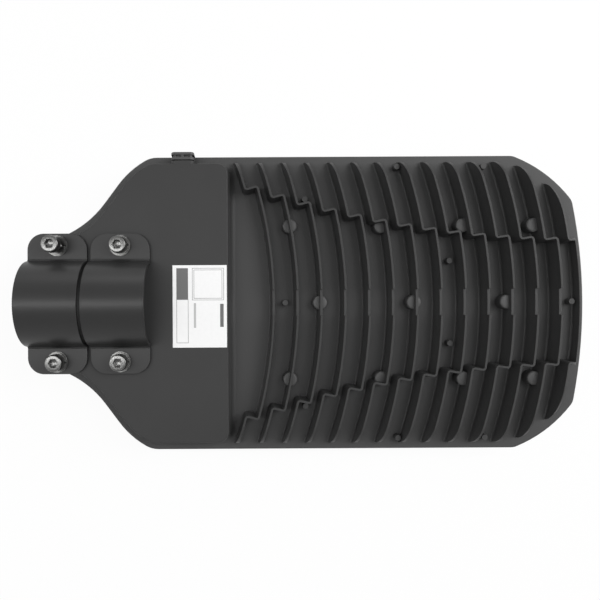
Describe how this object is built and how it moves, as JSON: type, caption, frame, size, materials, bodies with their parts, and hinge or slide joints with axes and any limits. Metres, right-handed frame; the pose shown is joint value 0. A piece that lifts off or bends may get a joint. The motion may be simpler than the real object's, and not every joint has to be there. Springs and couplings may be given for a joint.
{
  "type": "led street light head",
  "caption": "Die-cast LED street light head: finned back, domed lens plate, gear compartment with cover, vent plug, and a strap clamp that grips a 60 mm spigot.",
  "frame": {"origin": "centre of the spigot socket's mouth, on the socket's axis", "axes": "+X along the socket's axis from its mouth to the head's rounded tip, +Z from the lens side to the fin side, +Y to the side with the vent plug"},
  "size_m": [0.4381, 0.2346, 0.0679],
  "materials": {
    "casting_paint": "dark grey powder coat, fine texture",
    "strap_paint": "dark grey satin powder coat on bent steel",
    "fastener_steel": "bright stainless, knurled heads",
    "vent_plastic": "dark grey moulded nylon",
    "seal_rubber": "black rubber",
    "gland_plastic": "black moulded nylon",
    "cover_paint": "dark grey powder coat",
    "driver_case": "drawn aluminium case",
    "terminal_plastic": "white moulded nylon",
    "lead_sheath": "dark lead sheath",
    "board_mask": "white solder mask",
    "led_package": "yellow phosphor in a white package",
    "lens_clear": "clear moulded polycarbonate",
    "gasket_silicone": "grey silicone",
    "label_film": "white film"
  },
  "bodies": {
    "root": {"housing": "casting_paint", "outer_strap": "strap_paint", "inner_strap": "strap_paint", "strap_flat_washers": "fastener_steel", "strap_spring_washers": "fastener_steel", "strap_screws": "fastener_steel", "breather_plug": "vent_plastic", "breather_seal": "seal_rubber", "gland_body": "gland_plastic", "gland_seal": "seal_rubber", "gland_cap": "gland_plastic", "gland_locknut": "gland_plastic", "driver_cover": "cover_paint", "driver_cover_gasket": "gasket_silicone", "driver_cover_screws": "fastener_steel", "led_driver": "driver_case", "driver_screws": "fastener_steel", "earth_screw": "fastener_steel", "terminal_block": "terminal_plastic", "terminal_block_screws": "fastener_steel", "driver_input_lead": "lead_sheath", "led_lead": "lead_sheath", "lead_grommet": "seal_rubber", "led_board": "board_mask", "leds": "led_package", "lens_plate": "lens_clear", "lens_gasket": "gasket_silicone", "lens_screws": "fastener_steel", "led_board_screws": "fastener_steel", "rating_label": "label_film"}
  },
  "joints": []
}
